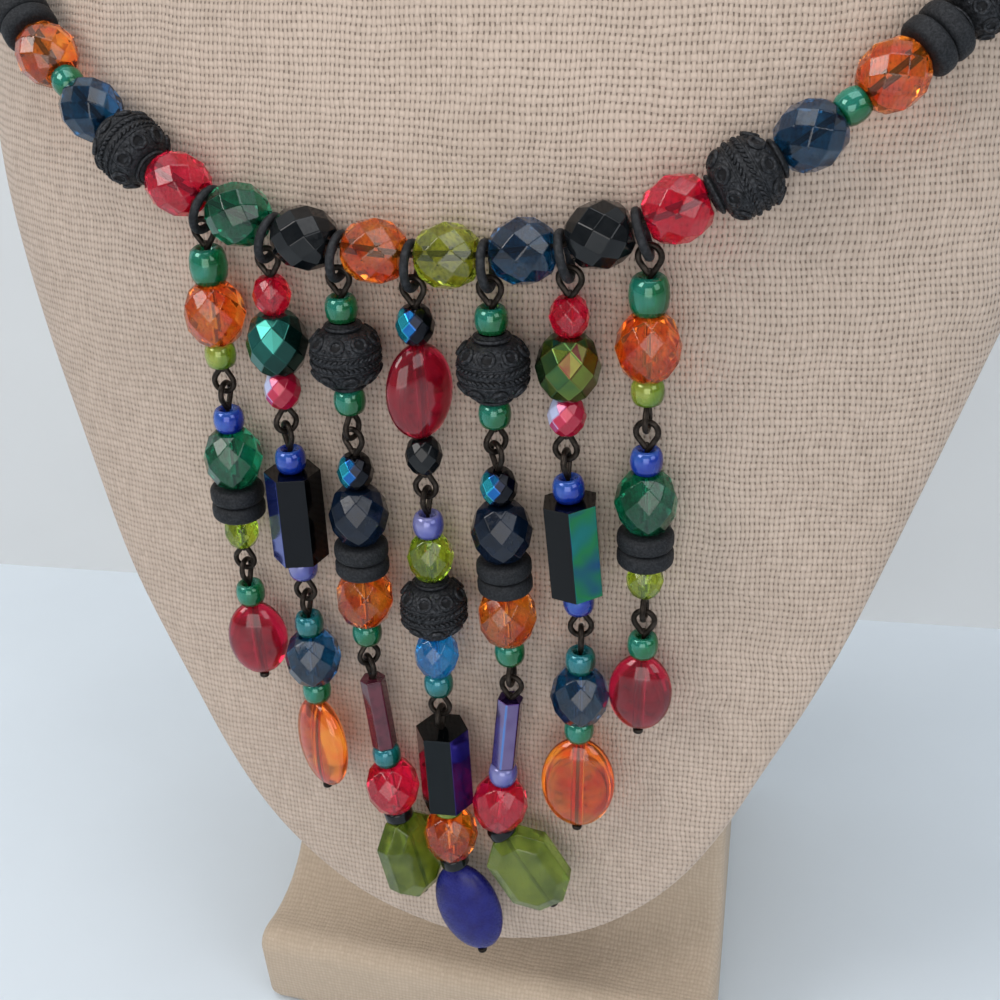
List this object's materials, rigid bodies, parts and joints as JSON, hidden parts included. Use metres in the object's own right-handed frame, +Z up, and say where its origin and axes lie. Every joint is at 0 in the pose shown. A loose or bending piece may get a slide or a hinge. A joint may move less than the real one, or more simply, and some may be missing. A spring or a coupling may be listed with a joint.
{
  "type": "bib necklace on a neck bust",
  "caption": "Beaded bib necklace with graduated wire-linked drops of glass and dark metal beads, worn on a linen-covered neck bust.",
  "frame": {"origin": "middle of the underside of the bust's base, where it stands on the table", "axes": "+Z up, along the neck; the chest and the drops look along -Y; +X is to the right of someone who faces the chest"},
  "size_m": [0.1576, 0.114, 0.22],
  "materials": {
    "string_beads": "faceted glass beads of several colours, with dark metal beads between",
    "orange_glass": "polished orange glass",
    "emerald_glass": "polished green glass over matte black discs",
    "dark_red_glass": "polished dark red glass",
    "petrol_glass": "petrol glass with a rainbow coat",
    "jet_glass": "black glass tube with a rainbow coat",
    "navy_glass": "dark blue and orange glass round matte black discs",
    "olive_glass": "olive, red and purple glass",
    "red_glass": "polished red glass",
    "blue_glass": "blue glass beads with dark metal and black ones",
    "dark_metal": "matte blackened metal with ring dots and twisted borders",
    "dark_wire": "dark brown plated wire",
    "linen": "pinkish beige linen weave",
    "base_linen": "beige linen weave, a little yellower"
  },
  "bodies": {
    "root": {"string_left": "string_beads", "string_right": "string_beads", "clasp": "dark_wire", "drop_1_ring": "dark_wire", "drop_2_ring": "dark_wire", "drop_3_ring": "dark_wire", "drop_4_ring": "dark_wire", "drop_5_ring": "dark_wire", "drop_6_ring": "dark_wire", "drop_7_ring": "dark_wire", "drop_1_top": "orange_glass", "drop_7_top": "orange_glass", "drop_1_middle": "emerald_glass", "drop_7_middle": "emerald_glass", "drop_1_bottom": "dark_red_glass", "drop_7_bottom": "dark_red_glass", "drop_2_top": "petrol_glass", "drop_6_top": "petrol_glass", "drop_2_middle": "jet_glass", "drop_6_middle": "jet_glass", "drop_2_bottom": "orange_glass", "drop_6_bottom": "orange_glass", "drop_3_top": "dark_metal", "drop_5_top": "dark_metal", "drop_3_middle": "navy_glass", "drop_5_middle": "navy_glass", "drop_3_bottom": "olive_glass", "drop_5_bottom": "olive_glass", "drop_4_top": "red_glass", "drop_4_middle": "blue_glass", "drop_4_bottom": "blue_glass", "bust_body": "linen", "bust_base": "base_linen"}
  },
  "joints": []
}
